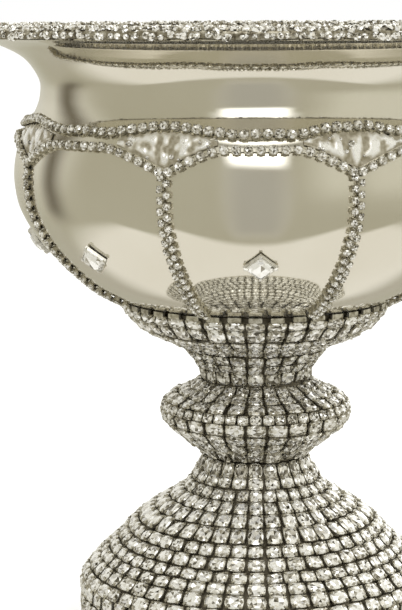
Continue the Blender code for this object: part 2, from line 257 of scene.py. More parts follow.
def surfaced(material, color, roughness=None, relief=None):
    """The material with its shader's colour, roughness and relief linked."""
    tree = material.node_tree
    for name, output in (("Base Color", color), ("Roughness", roughness), ("Normal", relief)):
        if output:
            tree.links.new(output, tree.nodes["Principled BSDF"].inputs[name])
    return material


def mirror_plate():
    """Polished nickel-silver plate: faint waves and spinning lines, and smears from handling."""
    material, tree = new_material("mirror_plate", {"Metallic": 0.96})
    cloud = noise(tree, 26.0, 4.0)
    color = color_ramp(tree, cloud, ((0.3, (0.80, 0.765, 0.67)), (0.7, (0.85, 0.82, 0.735))))
    smear = noise(tree, 140.0, 5.0, (1.0, 1.0, 0.35))
    spun = noise(tree, 90.0, 3.0, (0.6, 0.6, 14.0))
    relief = math_node(tree, "MULTIPLY_ADD", spun, 0.022, noise(tree, 18.0, 1.0))
    roughness = value_range(tree, smear, 0.025, 0.085)
    return surfaced(material, color, roughness, bump(tree, relief, 0.10, 0.0015))


def cloudy_metal(name, metallic, cloud, stops, dull, grain, relief):
    """A metal whose colour and roughness follow one noise, and whose relief follows a finer one."""
    material, tree = new_material(name, {"Metallic": metallic})
    field = noise(tree, *cloud)
    fine = bump(tree, noise(tree, *grain), *relief)
    return surfaced(material, color_ramp(tree, field, stops), value_range(tree, field, *dull), fine)


def setting_metal(name, darkest, middle, bright, metallic):
    """Plated cups and claws, a little dull, with darker and lighter clouds of colour."""
    stops = ((0.30, darkest), (0.48, middle), (0.7, bright))
    return cloudy_metal(name, metallic, (620.0, 4.0), stops, (0.38, 0.18), (2400.0, 2.0), (0.25, 0.0001))


def crystal():
    """Foil-backed cut crystal: each facet's own tone is a painted reflection, from a black facet to a bright
    flash, under a clear, hard gloss.
    """
    values = {"Metallic": 0.66, "Coat Weight": 1.0, "Coat Roughness": 0.02}
    material, tree = new_material("crystal", values)
    tone = node(tree, "ShaderNodeAttribute", attribute_name="tone").outputs["Fac"]
    flaw = noise(tree, 900.0, 2.0)
    mixed = math_node(tree, "MULTIPLY_ADD", flaw, 0.22, tone)
    color = color_ramp(
        tree, mixed,
        ((0.10, (0.060, 0.050, 0.030)), (0.36, (0.40, 0.37, 0.30)), (0.62, (0.84, 0.82, 0.76)),
         (0.95, (1.0, 0.995, 0.97))),
    )
    return surfaced(material, color, value_range(tree, flaw, 0.04, 0.14))


def silver_leaf():
    """The hammered plates between the arches: smooth flutes painted bright as a highlight, on rough beige
    ground.
    """
    material, tree = new_material("silver_leaf", {"Metallic": 0.75})
    flute = node(tree, "ShaderNodeAttribute", attribute_name="tone").outputs["Fac"]
    mixed = math_node(tree, "MULTIPLY_ADD", noise(tree, 760.0, 4.0), 0.55, flute)
    color = color_ramp(
        tree, mixed, ((0.18, (0.33, 0.29, 0.20)), (0.45, (0.66, 0.62, 0.52)), (0.85, (1.0, 0.995, 0.97)))
    )
    relief = bump(tree, noise(tree, 1500.0, 3.0), 0.45, 0.0002)
    return surfaced(material, color, value_range(tree, flute, 0.55, 0.20), relief)


def dark_casting():
    """Cast brass, dark and cloudy all over: partly patina, partly painted shade that deepens the slits
    between the stones, where it shows.
    """
    stops = ((0.35, (0.085, 0.072, 0.047)), (0.7, (0.27, 0.24, 0.175)))
    return cloudy_metal(
        "dark_casting", 0.7, (420.0, 6.0), stops, (0.42, 0.70), (1300.0, 4.0), (0.5, 0.0002)
    )


def plain_steel():
    """Zinc-plated steel with turning marks and a slightly cloudy passivation."""
    stops = ((0.35, (0.47, 0.48, 0.48)), (0.65, (0.66, 0.665, 0.65)))
    turning = (700.0, 2.0, (1.0, 1.0, 6.0))
    return cloudy_metal("plain_steel", 1.0, (160.0, 4.0), stops, (0.22, 0.42), turning, (0.2, 0.0002))


def felt():
    """Black wool felt: matted fibres, lint and a soft sheen."""
    material, tree = new_material("felt", {"Roughness": 0.95, "Sheen Weight": 0.5})
    fibre = noise(tree, 1900.0, 6.0)
    mixed = math_node(tree, "MULTIPLY", fibre, noise(tree, 260.0, 3.0))
    color = color_ramp(tree, mixed, ((0.15, (0.012, 0.012, 0.013)), (0.42, (0.075, 0.073, 0.07))))
    return surfaced(material, color, relief=bump(tree, fibre, 0.9, 0.0006))


def pale_floor():
    values = {"Roughness": 0.7, "Emission Color": (1.0, 1.0, 0.995, 1.0), "Emission Strength": 0.08}
    material, tree = new_material("pale_floor", values)
    cloud = noise(tree, 3.0, 3.0)
    return surfaced(
        material, color_ramp(tree, cloud, ((0.3, (0.93, 0.93, 0.925)), (0.7, (0.96, 0.96, 0.955))))
    )


# Meshes


class Pile:
    """Points and faces of many pieces, gathered for one mesh."""

    def __init__(self):
        self.points = []
        self.corners = []
        self.sizes = []
        self.slots = []
        self.tones = []
        self.count = 0

    def add(self, points, corners, sizes, slot, tones=None):
        copies = len(points)
        steps = self.count + np.arange(copies)[:, None] * points.shape[1]
        self.points.append(points.reshape(-1, 3))
        self.corners.append((corners[None, :] + steps).reshape(-1))
        self.sizes.append(np.tile(sizes, copies))
        self.slots.append(np.full(copies * len(sizes), slot))
        self.tones.append(np.ones(copies * len(sizes)) if tones is None else tones.reshape(-1))
        self.count += copies * points.shape[1]

    def keep_within(self, radius, height):
        """Presses points in where they stand out beyond a radius or a height."""
        for points in self.points:
            away = np.hypot(points[:, 0], points[:, 1])
            points[:, :2] *= np.minimum(1.0, radius / away)[:, None]
            points[:, 2] = np.minimum(points[:, 2], height)

    def mesh(self, name, smooth=False):
        points = np.concatenate(self.points) * MM
        corners = np.concatenate(self.corners)
        sizes = np.concatenate(self.sizes)
        mesh = bpy.data.meshes.new(name)
        mesh.vertices.add(len(points))
        mesh.vertices.foreach_set("co", points.reshape(-1).astype(np.float32))
        mesh.loops.add(len(corners))
        mesh.loops.foreach_set("vertex_index", corners.astype(np.int32))
        mesh.polygons.add(len(sizes))
        starts = np.concatenate(([0], np.cumsum(sizes)[:-1]))
        mesh.polygons.foreach_set("loop_start", starts.astype(np.int32))
        mesh.polygons.foreach_set("material_index", np.concatenate(self.slots).astype(np.int32))
        mesh.polygons.foreach_set("use_smooth", np.full(len(sizes), smooth))
        mesh.update(calc_edges=True)
        tone = mesh.attributes.new("tone", "FLOAT", "FACE")
        tone.data.foreach_set("value", np.concatenate(self.tones).astype(np.float32))
        return mesh


def flat_faces(faces):
    """A list of faces as one run of corners and each face's size."""
    corners = np.array([corner for face in faces for corner in face])
    return corners, np.array([len(face) for face in faces])


def finish_piece(mesh, materials, slot, *nodes):
    """Makes the mesh an object of its name that rides on the body and stands for its CAD nodes."""
    piece = bpy.data.objects.new(mesh.name, mesh)
    bpy.context.scene.collection.objects.link(piece)
    for material in materials:
        mesh.materials.append(material)
    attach(piece, "root")
    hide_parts(*nodes)


# Templates: one unit stone, cup and claw, which every row copies


def ring_points(count, radius, height, turn=0.0):
    angles = (np.arange(count) + turn) * math.tau / count
    return np.stack([radius * np.cos(angles), radius * np.sin(angles), np.full(count, height)], 1)


def cut_stone(sides, middle, table, star):
    """A cut of unit girdle and crown: the table's middle height, and two rings as (radius, height)."""
    points = np.concatenate([
        [[0.0, 0.0, middle]],
        ring_points(sides, *table),
        ring_points(sides, *star, 0.5),
        ring_points(2 * sides, 1.0, 0.0),
    ])
    first_table, first_star, girdle = 1, 1 + sides, 1 + 2 * sides
    faces = []
    for i in range(sides):
        t0, t1 = first_table + i, first_table + (i + 1) % sides
        before, after = first_star + (i - 1) % sides, first_star + i
        g0, g1, g2 = girdle + 2 * i, girdle + 2 * i + 1, girdle + (2 * i + 2) % (2 * sides)
        faces += [(0, t0, t1), (t0, after, t1), (before, g0, after, t0), (g0, g1, after), (g1, g2, after)]
    faces.append(tuple(girdle + i for i in reversed(range(2 * sides))))
    return points, *flat_faces(faces)


def brilliant(sides):
    """A round cut with a dished table, which flashes more than a flat one."""
    return cut_stone(sides, 0.62, (0.56, 1.0), (0.82, 0.60))


def stacked(rings):
    """Faces that join equal rings of points from the lowest to the highest, closed at both ends."""
    count = len(rings[0])
    faces = [tuple(reversed(range(count)))]
    for level in range(len(rings) - 1):
        low, high = level * count, (level + 1) * count
        for i in range(count):
            after = (i + 1) % count
            faces.append((low + i, low + after, high + after, high + i))
    faces.append(tuple(range((len(rings) - 1) * count, len(rings) * count)))
    return np.concatenate(rings), *flat_faces(faces)


def cup(sides=12):
    """The cup that a stone of unit radius stands in, of unit depth below the girdle."""
    levels = ((0.90, -1.0), (1.07, -0.35), (1.09, 0.04), (0.97, 0.04))
    return stacked([ring_points(sides, radius, height) for radius, height in levels])


def block(levels):
    """A tapered bar from (near, far, half width, height) levels, reaching along +X."""
    rings = [
        np.array([(near, -half, z), (far, -half, z), (far, half, z), (near, half, z)])
        for near, far, half, z in levels
    ]
    return stacked(rings)


def claw():
    """A claw that is bent over the edge of a stone of unit radius and unit crown height."""
    return block(((0.99, 1.15, 0.15, -0.9), (0.93, 1.17, 0.15, 0.25), (0.76, 0.98, 0.10, 0.86)))


def bead():
    """A small round-topped bead of unit radius."""
    return stacked([ring_points(6, 0.9, -0.6), ring_points(6, 1.0, 0.0), ring_points(6, 0.55, 0.8)])


def cushion(template, power):
    """A round template swollen towards a square, as far as the power of its superellipse says."""
    points, corners, sizes = template
    points = points.copy()
    turn = np.arctan2(points[:, 1], points[:, 0])
    reach = (np.abs(np.cos(turn)) ** power + np.abs(np.sin(turn)) ** power) ** (-1 / power)
    points[:, :2] *= reach[:, None]
    return points, corners, sizes


CUSHION_POWER = 2.7
BRILLIANT = brilliant(8)
CUSHION = cushion(BRILLIANT, CUSHION_POWER)
SMALL_BRILLIANT = brilliant(6)
WIDE_CUT = cut_stone(8, 1.12, (0.60, 1.0), (0.84, 0.62))
CUP = cup()
CUSHION_CUP = cushion(CUP, CUSHION_POWER)
CLAW = claw()
BEAD = bead()
BEZEL_CLAW = block(((4.3, 5.2, 0.5, 0.7), (4.2, 5.25, 0.5, 1.5), (3.7, 4.7, 0.32, 1.95)))
LINK = block(((-0.5, 0.5, 0.5, -0.5), (-0.5, 0.5, 0.5, 0.5)))


class Places:
    """Where copies stand: origins and the axes along the row, up the surface and out of it."""

    def __init__(self, origin, along, out):
        self.origin = origin
        self.out = unit(out)
        self.up = unit(np.cross(self.out, along))
        self.along = np.cross(self.up, self.out)

    def lifted(self, distance):
        return Places(self.origin + self.out * np.reshape(distance, (-1, 1)), self.along, self.out)

    def tilted(self, rng, degrees):
        lean = rng.normal(0.0, math.radians(degrees), (len(self.origin), 2))
        out = self.out + self.along * lean[:, :1] + self.up * lean[:, 1:]
        return Places(self.origin, self.along, out)

    def put(self, pile, template, scale, slot, spin=0.0, tones=None):
        """Copies the template to each place, spun about its own axis and then scaled."""
        points, corners, sizes = template
        spin = np.broadcast_to(spin, len(self.origin))
        c, s = np.cos(spin)[:, None], np.sin(spin)[:, None]
        x = points[:, 0] * c - points[:, 1] * s
        y = points[:, 0] * s + points[:, 1] * c
        z = np.broadcast_to(points[:, 2], x.shape)
        scale = np.broadcast_to(np.asarray(scale, float), (len(self.origin), 3))
        made = (
            self.origin[:, None, :]
            + (x * scale[:, :1])[..., None] * self.along[:, None, :]
            + (y * scale[:, 1:2])[..., None] * self.up[:, None, :]
            + (z * scale[:, 2:])[..., None] * self.out[:, None, :]
        )
        pile.add(made, corners, sizes, slot, tones)


def unit(vectors):
    return vectors / np.linalg.norm(vectors, axis=-1, keepdims=True)


def travel(points):
    """How far along a polyline each of its points lies."""
    return np.concatenate([[0.0], np.cumsum(np.linalg.norm(np.diff(points, axis=0), axis=1))])


def normals_beside(outline):
    """An outline's unit normals: towards the axis where it runs down, away from it where it runs up."""
    along = unit(np.gradient(outline, axis=0))
    return np.stack([along[:, 1], -along[:, 0]], 1)


def painted_facet_reflections(rng, copies, facets, bright_share, dark_share):
    """Random painted reflections: each stone has its own lightness, and its facets differ strongly, from
    painted flashes to painted black.
    """
    stone = rng.normal(0.0, 0.07, (copies, 1))
    kind = rng.random((copies, facets))
    bright = rng.uniform(0.62, 1.0, (copies, facets))
    middle = rng.uniform(0.26, 0.52, (copies, facets))
    dark = rng.uniform(0.0, 0.20, (copies, facets))
    tones = np.where(kind < bright_share, bright, np.where(kind < 1 - dark_share, middle, dark))
    return np.clip(tones + stone, 0.0, 1.0)


METAL_SLOT, STONE_SLOT = 0, 1
CLAW_TURNS = (0.25, 0.75, 1.25, 1.75)
CROWN_SHARE = 0.32


def set_stones(pile, places, rng, width, length, tall, shares, cushioned=False):
    """Stones in claw cups; places are on the cups' feet, and tall is from there to the tables."""
    crown = CROWN_SHARE * tall
    girdle = places.lifted(tall - crown).tilted(rng, 5.0)
    copies = len(places.origin)
    size = rng.normal(1.0, 0.02, (copies, 1))
    half = np.array([width / 2, length / 2, 1.0])
    stone = half * np.concatenate([size * 0.96, size * 0.98, np.full((copies, 1), crown)], 1)
    tones = painted_facet_reflections(rng, copies, len(BRILLIANT[2]), *shares)
    spin = rng.integers(0, 2, copies) * math.pi if cushioned else rng.uniform(0, math.tau, copies)
    cut, seat, reach = (CUSHION, CUSHION_CUP, 1.05) if cushioned else (BRILLIANT, CUP, 0.97)
    girdle.put(pile, cut, stone, STONE_SLOT, spin, tones)
    girdle.put(pile, seat, half * np.array([0.93, 0.93, tall - crown]), METAL_SLOT)
    for turn in CLAW_TURNS:
        girdle.put(pile, CLAW, half * np.array([reach, reach, crown]), METAL_SLOT, turn * math.pi)


# Surfaces of revolution and the lobed bowl


def through(points, steps):
    """A Catmull-Rom curve through the points, with so many steps in each span."""
    points = [Vector(point) for point in points]
    ends = [2 * points[0] - points[1], *points, 2 * points[-1] - points[-2]]
    curve = [points[0]]
    for a, b, c, d in zip(ends, ends[1:], ends[2:], ends[3:]):
        for step in range(1, steps + 1):
            t = step / steps
            curve.append(
                0.5 * (2 * b + (c - a) * t + (2 * a - 5 * b + 4 * c - d) * t**2
                       + (3 * b - a - 3 * c + d) * t**3)
            )
    return np.array(curve)


BOWL_SKIN = through(BOWL_OUTLINE, BOWL_STEPS)
STEM_SKIN = through(STEM_OUTLINE, 6)
STEM_TRAVEL = travel(STEM_SKIN)


def radius_at(outline, height):
    """Where an outline that only goes down passes these heights."""
    return np.interp(height, outline[::-1, 1], outline[::-1, 0])


def slope_at(outline, height, reach=0.5):
    """The unit normals of a turned surface, as their parts away from and along the axis."""
    rise = radius_at(outline, height + reach) - radius_at(outline, height - reach)
    return np.moveaxis(unit(np.stack([np.full_like(rise, 2 * reach), -rise], -1)), -1, 0)


def ramp(value, start, end):
    part = np.clip((value - start) / (end - start), 0.0, 1.0)
    return part * part * (3 - 2 * part)


def across_panel(angle):
    """How far an angle lies from its panel's middle, from -1 to 1 at the creases."""
    within = (angle - FIRST_CREASE) % (WIDE_PANEL + NARROW_PANEL)
    wide = within / WIDE_PANEL
    narrow = (within - WIDE_PANEL) / NARROW_PANEL
    return np.where(within < WIDE_PANEL, wide, narrow) * 2 - 1


def lobe_drop(angle, height):
    """How much nearer the axis the skin lies than a plain turned bowl's."""
    fade = ramp(height, *LOBE_TOP) * ramp(height, *LOBE_BOTTOM)
    return LOBE_DEPTH * fade * np.abs(across_panel(angle)) ** LOBE_POWER


def panel_edges(panel):
    """The angles of a panel's two creases."""
    start = FIRST_CREASE + (panel // 2) * (WIDE_PANEL + NARROW_PANEL)
    return (start, start + WIDE_PANEL) if panel % 2 == 0 else (start + WIDE_PANEL, start + 90.0)


CREASES = np.array([panel_edges(panel)[0] for panel in range(PANELS)])


def crease_distance(angle):
    """Degrees from an angle to its nearest crease."""
    away = np.abs((np.asarray(angle)[..., None] - CREASES + 180) % 360 - 180)
    return away.min(-1)


def outward(angle):
    turn = np.radians(angle)
    return np.stack([np.sin(turn), -np.cos(turn), np.zeros_like(turn)], -1)


def sideways(angle):
    return outward(np.asarray(angle) + 90.0)


def turned(angle, out, up):
    """Vectors with these parts away from and along the axis, at these angles round it."""
    return outward(angle) * np.asarray(out)[..., None] + UP * np.asarray(up)[..., None]


def on_skin(angle, height, lift=0.0):
    """Points above the bowl's skin and the normals of the plain turned bowl there."""
    angle, height = np.broadcast_arrays(np.asarray(angle, float), np.asarray(height, float))
    normal = turned(angle, *slope_at(BOWL_SKIN, height))
    point = turned(angle, radius_at(BOWL_SKIN, height) - lobe_drop(angle, height), height)
    return point + normal * np.asarray(lift)[..., None], normal


def turned_pile(loop, angles, radius_change=None, closed=True):
    """A loop of radius and height turned through the angles; at radius 0 its ends meet."""
    loop = np.array(loop, float)
    rows, columns = len(loop), len(angles)
    radius = np.repeat(loop[:, :1], columns, 1)
    height = np.repeat(loop[:, 1:], columns, 1)
    if radius_change:
        radius, height = radius_change(radius, height, np.asarray(angles)[None, :])
    points = turned(np.asarray(angles)[None], radius, height)
    faces = []
    for row in range(rows if closed else rows - 1):
        below = (row + 1) % rows
        for column in range(columns):
            after = (column + 1) % columns
            faces.append(
                (row * columns + column, below * columns + column,
                 below * columns + after, row * columns + after)
            )
    pile = Pile()
    pile.add(points.reshape(1, -1, 3), *flat_faces(faces), METAL_SLOT)
    return pile


def even_angles(count):
    return np.arange(count) * 360.0 / count


def turned_mesh(name, loop, columns, radius_change, crease):
    """A turned mesh with its axis points joined and its corners sharp."""
    mesh = turned_pile(loop, even_angles(columns), radius_change).mesh(name, smooth=True)
    bm = bmesh.new()
    bm.from_mesh(mesh)
    bmesh.ops.remove_doubles(bm, verts=bm.verts, dist=1e-7)
    bmesh.ops.dissolve_degenerate(bm, edges=bm.edges, dist=1e-8)
    bm.to_mesh(mesh)
    bm.free()
    mesh.set_sharp_from_angle(angle=math.radians(crease))
    return mesh


def turn_piece(name, loop, columns, material, slot, cad_node, radius_change=None, crease=35.0):
    mesh = turned_mesh(name, loop, columns, radius_change, crease)
    finish_piece(mesh, [material], slot, cad_node)


def disc_loop(hole, radius, top, bottom, aside=0.3, down=0.3):
    """A disc's profile with its outer corners cut off, so far aside and so far down."""
    return [
        (hole, top), (radius - aside, top), (radius, top - down),
        (radius, bottom + down), (radius - aside, bottom), (hole, bottom),
    ]


def arc(centre, radius, start, end, steps):
    """Points on an arc of a profile, from one angle to another in degrees."""
    turns = np.radians(np.linspace(start, end, steps + 1))
    return [(centre[0] + radius * math.cos(t), centre[1] + radius * math.sin(t)) for t in turns]


# Pieces of the bowl


def panel_angles():
    """Columns for the bowl's mesh, closer together near the creases."""
    spread = np.linspace(-1, 1, COLUMNS_PER_PANEL, endpoint=False)
    spread = np.sign(spread) * (1 - (1 - np.abs(spread)) ** 1.3)
    angles = []
    for panel in range(PANELS):
        start, end = panel_edges(panel)
        angles.append((start + end) / 2 + (end - start) / 2 * spread)
    return np.concatenate(angles)


def press_lobes(radius, height, angles):
    drop = lobe_drop(np.broadcast_to(angles, radius.shape), height)
    return np.where(radius > BORE_RADIUS * 2, radius - drop, radius), height


def make_bowl(metal):
    inner = BOWL_SKIN + normals_beside(BOWL_SKIN) * BOWL_WALL
    inner = inner[inner[:, 1] > BOWL_FLOOR + BOWL_WALL + 0.4]
    floor_radius = BOWL_OUTLINE[-1][0] - 2.0
    floor_top = BOWL_FLOOR + BOWL_WALL
    loop = [*BOWL_SKIN, (floor_radius, BOWL_FLOOR), (BORE_RADIUS, BOWL_FLOOR)]
    loop += [(BORE_RADIUS, floor_top), (12.0, floor_top), (floor_radius - 3.0, floor_top)]
    loop += [*inner[::-1]]
    mesh = turned_pile(loop, panel_angles(), press_lobes).mesh("bowl_skin", smooth=True)
    mesh.set_sharp_from_angle(angle=math.radians(50))
    finish_piece(mesh, [metal], "mirror_plate", "bowl_shell")


def scallop(angle):
    return SCALLOP_DEPTH * (0.5 + 0.5 * np.cos(np.radians(SCALLOPS * angle)))


def make_rim(metal, stone):
    """The rim's carrier band, with small stones crowded all over its skirt and its mound."""
    lip_over = BOWL_OUTLINE[0][1] + BOWL_WALL
    skirt_bottom = BOWL_OUTLINE[0][1] + SKIRT_ABOVE_LIP
    crest_radius, crest = RIM_CREST
    outside = np.array([
        (RIM_RADIUS, skirt_bottom), (RIM_RADIUS, crest - 2.2), (RIM_RADIUS - 0.8, crest - 0.9),
        RIM_CREST, (crest_radius - 2.2, crest - 0.6), (RIM_INNER, lip_over + 0.6),
    ])
    mound = through(outside, 6)
    lean = normals_beside(mound)
    carrier = mound - lean * RIM_STONE_DEPTH
    loop = [*carrier[::-1], (RIM_RADIUS - RIM_SKIRT, skirt_bottom), (RIM_RADIUS - RIM_SKIRT, lip_over + 0.3)]
    loop += [(RIM_INNER + 0.4, lip_over - 0.4)]

    def hang(radius, height, angles):
        low = (height < skirt_bottom + 0.7) & (radius > RIM_RADIUS - RIM_SKIRT - 0.1)
        return radius, np.where(low, height - scallop(angles), height)

    turn_piece("rim_carrier", loop, RIM_COLUMNS, metal, "pave_setting", "rim_band", hang)
    rng = np.random.default_rng(SEED + 1)
    travelled = travel(carrier)
    skirt, crown = Pile(), Pile()
    rows = int(travelled[-1] / RIM_ROW_PITCH)
    for row in range(rows):
        at = (row + 0.42) / rows * travelled[-1]
        radius, height, out, up = (
            np.interp(at, travelled, column) for column in (*carrier.T, *lean.T)
        )
        tilt = math.degrees(math.atan2(up, out))
        crowd_row(skirt if row < 3 else crown, rng, radius, height, tilt, scallop if row == 0 else None)
    for name, pile in (("rim_skirt_stones", skirt), ("rim_crown_stones", crown)):
        pile.keep_within(RIM_RADIUS - 0.02, crest - 0.02)
        finish_piece(pile.mesh(name), [metal, stone], "pave_setting", "rim_band")


def crowd_row(pile, rng, radius, height, tilt, hang=None):
    """A ring of rough stones and beads set unevenly, leaning up by so many degrees."""
    count = int(math.tau * radius / RIM_STONE_PITCH)
    angles = (np.arange(count) + rng.uniform(-0.38, 0.38, count)) * 360.0 / count
    heights = height + rng.uniform(-0.42, 0.42, count) - (hang(angles) if hang else 0.0)
    lean = np.radians(tilt + rng.normal(0.0, 15.0, count))
    out = turned(angles, np.cos(lean), np.sin(lean))
    swing = rng.normal(0.0, 0.25, (count, 1))
    origin = turned(angles, radius, heights)
    places = Places(origin, sideways(angles), out + sideways(angles) * swing)
    lump = 0.5 + 0.5 * np.sin(np.radians(angles * 17) + 2.3 * np.sin(np.radians(angles * 5 + 40)))[:, None]
    half = rng.uniform(0.72, 1.45, (count, 1))
    crown = rng.uniform(0.45, 0.80, (count, 1)) + 0.35 * lump
    tones = painted_facet_reflections(rng, count, len(SMALL_BRILLIANT[2]), *RIM_SHARES)
    places.put(
        pile, SMALL_BRILLIANT, np.concatenate([half, half * 0.92, crown], 1), STONE_SLOT,
        rng.uniform(0, math.tau, count), tones,
    )
    for _ in range(2):
        aside = rng.uniform(0.35, 0.65, (count, 1)) * RIM_STONE_PITCH
        along = places.up * rng.uniform(-0.9, 0.9, (count, 1))
        beads = Places(origin + sideways(angles) * aside + along, sideways(angles), out)
        beads.put(pile, BEAD, rng.uniform(0.35, 0.65, (count, 1)) * np.ones((1, 3)), METAL_SLOT)


def top_chain_height(angle):
    return TOP_CHAIN_HEIGHT + TOP_CHAIN_RISE * (1 - ramp(crease_distance(angle), 2.0, 15.0))


def arch_height(panel, angle):
    start, end = panel_edges(panel)
    middle, half = (start + end) / 2, (end - start) / 2
    beyond = np.maximum(np.abs(angle - middle) - ARCH_FLAT, 0) / (half - ARCH_FLAT)
    return ARCH_HEIGHT - ARCH_DROP * np.minimum(beyond, 1.0) ** 1.3


def evenly(points, pitch, closed=False):
    """Parameters from 0 to 1 at which a polyline through the points has even steps of about a pitch."""
    travelled = travel(points)
    count = max(int(round(travelled[-1] / pitch)), 1)
    goals = np.linspace(0, travelled[-1], count + 1)[: count if closed else None]
    return np.interp(goals, travelled, np.linspace(0, 1, len(points)))


def chain_on(pile, rng, angles, heights, stone, tall):
    """Stones in claw cups along a line on the bowl, joined by short links."""
    foot, normal = on_skin(angles, heights, CHAIN_STANDOFF)
    following = np.gradient(foot, axis=0)
    places = Places(foot, following, normal)
    set_stones(pile, places, rng, stone, stone, tall, CHAIN_SHARES)
    middle = (foot[:-1] + foot[1:]) / 2
    bars = Places(middle, foot[1:] - foot[:-1], normal[:-1] + normal[1:]).lifted(tall * 0.3)
    bars.put(pile, LINK, (CHAIN_PITCH * 0.5, stone * 0.32, tall * 0.28), METAL_SLOT)


def make_top_chain(metal, stone):
    rng = np.random.default_rng(SEED + 2)
    dense = np.linspace(0, 360, 721)
    parts = evenly(on_skin(dense, top_chain_height(dense))[0], CHAIN_PITCH)
    angles = parts * 360.0
    heights = top_chain_height(angles) + 0.18 * np.sin(np.radians(angles * 31))
    heights[-1] = heights[0]
    pile = Pile()
    chain_on(pile, rng, angles[:-1], heights[:-1], TOP_CHAIN_STONE, CHAIN_TALL)
    finish_piece(pile.mesh("top_chain_stones"), [metal, stone], "chain_setting", "top_chain")


def make_panel_chain(panel, metal, stone):
    """One panel's chain: stones in zigzag up the crease where it starts, and a row over its arch."""
    rng = np.random.default_rng(SEED + 10 + panel)
    start, end = panel_edges(panel)
    pile = Pile()
    aside = math.degrees(ARCH_END_GAP / radius_at(BOWL_SKIN, LOBE_TOP[1]))
    dense = np.linspace(start + aside, end - aside, 200)
    parts = evenly(on_skin(dense, arch_height(panel, dense))[0], CHAIN_PITCH)
    angles = dense[0] + parts * (dense[-1] - dense[0])
    chain_on(pile, rng, angles, arch_height(panel, angles), ARCH_STONE, CHAIN_TALL)
    top = ARCH_HEIGHT - ARCH_DROP - SIDE_STOP
    dense = np.linspace(SIDE_FOOT, top, 300)
    heights = SIDE_FOOT + (top - SIDE_FOOT) * evenly(on_skin(start, dense)[0], SIDE_PITCH)
    side = np.where(np.arange(len(heights)) % 2 == 0, 1.0, -1.0)
    offset = np.degrees(SIDE_SPACING / radius_at(BOWL_SKIN, heights)) * side
    foot, normal = on_skin(start + offset, heights, CHAIN_STANDOFF)
    lean = np.radians(SIDE_LEAN + rng.normal(0.0, 4.0, len(side)))[:, None] * side[:, None]
    normal = normal * np.cos(lean) + sideways(start + offset) * np.sin(lean)
    places = Places(foot, sideways(start + offset), normal)
    set_stones(pile, places, rng, SIDE_STONE, SIDE_STONE, SIDE_TALL, CHAIN_SHARES)
    mesh = pile.mesh(f"panel_chain_stones_{panel + 1}")
    finish_piece(mesh, [metal, stone], "chain_setting", f"panel_chain_{panel + 1}")


def make_spandrel(index, leaf, stone):
    """A hammered, fluted plate that fills the corner between the top chain and two arches."""
    crease = CREASES[index]
    rng = np.random.default_rng(SEED + 30 + index)
    columns, rows = 121, 21
    away = np.linspace(-SPANDREL_HALF_ANGLE, SPANDREL_HALF_ANGLE, columns)
    angle = crease + away
    left = arch_height((index - 1) % PANELS, angle + (360 if index == 0 else 0))
    right = arch_height(index, angle)
    top = top_chain_height(angle) - 1.6 - 0.22 * (1 + np.sin(away * 3.1 + index))
    bottom = np.minimum(np.where(away > 0, right, left) + 1.7, top - 0.5)
    part = np.linspace(0, 1, rows)[:, None]
    height = bottom + (top - bottom) * part
    wander = 0.35 * np.sin(away * 0.9 + 2.0 * index) + 0.18 * np.sin(part * 5 + away)
    lumps = spread_noise(rng, 5, 19, rows, columns)
    flute = np.clip(0.34 + 0.42 * np.cos(math.tau * (away + wander) / FLUTE_PITCH) + 0.95 * lumps, 0.0, 1.0)
    edge = np.minimum(np.minimum(part, 1 - part) * 4.5, 1.0)
    dents = rng.uniform(-1, 1, (rows, columns))
    for _ in range(2):
        dents = (dents + np.roll(dents, 1, 0) + np.roll(dents, 1, 1) + np.roll(dents, (1, 1), (0, 1))) / 3
    rise = SPANDREL_THICKNESS * (0.45 + 0.55 * edge * flute) + 0.10 * dents * edge * (1.15 - flute)
    face = on_skin(angle, height, SPANDREL_LIFT + rise)[0]
    back = on_skin(angle, height, SPANDREL_LIFT)[0]
    pile = Pile()
    # Painted highlight: the raised flutes away from the plate's edges are given a bright colour.
    shine = edge * flute * (0.9 + 0.1 * dents)
    add_slab(pile, face, back, np.clip(shine, 0.0, 1.0))
    count = SPANDREL_STONES
    spots = rng.uniform(-0.85, 0.85, count) * SPANDREL_HALF_ANGLE
    low = np.interp(spots, away, bottom) + 0.4
    high = np.interp(spots, away, top) - 0.4
    level = low + (high - low) * rng.random(count)
    lift = SPANDREL_LIFT + SPANDREL_THICKNESS * 0.6
    foot, normal = on_skin(crease + spots, level, lift)
    places = Places(foot, sideways(crease + spots), normal)
    half = rng.uniform(0.35, 0.6, (count, 1))
    half[:2] *= 1.9
    tones = painted_facet_reflections(rng, count, len(SMALL_BRILLIANT[2]), *CHAIN_SHARES)
    scale = np.concatenate([half, half, half * 0.7], 1)
    places.put(pile, SMALL_BRILLIANT, scale, STONE_SLOT, rng.uniform(0, math.tau, count), tones)
    mesh = pile.mesh(f"spandrel_plate_{index + 1}", smooth=True)
    mesh.set_sharp_from_angle(angle=math.radians(32))
    finish_piece(mesh, [leaf, stone], "pave_setting", f"spandrel_{index + 1}")


def spread_noise(rng, coarse_rows, coarse_columns, rows, columns):
    """A smooth field between -1 and 1 on a grid, spread from a coarse grid of random values."""
    coarse = rng.uniform(-1, 1, (coarse_rows, coarse_columns))
    down, along = np.linspace(0, coarse_rows - 1, rows), np.linspace(0, coarse_columns - 1, columns)
    row = np.minimum(down.astype(int), coarse_rows - 2)
    column = np.minimum(along.astype(int), coarse_columns - 2)
    v, u = ramp(down - row, 0.0, 1.0)[:, None], ramp(along - column, 0.0, 1.0)[None]
    row, column = row[:, None], column[None]
    low = coarse[row, column] * (1 - u) + coarse[row, column + 1] * u
    high = coarse[row + 1, column] * (1 - u) + coarse[row + 1, column + 1] * u
    return low * (1 - v) + high * v


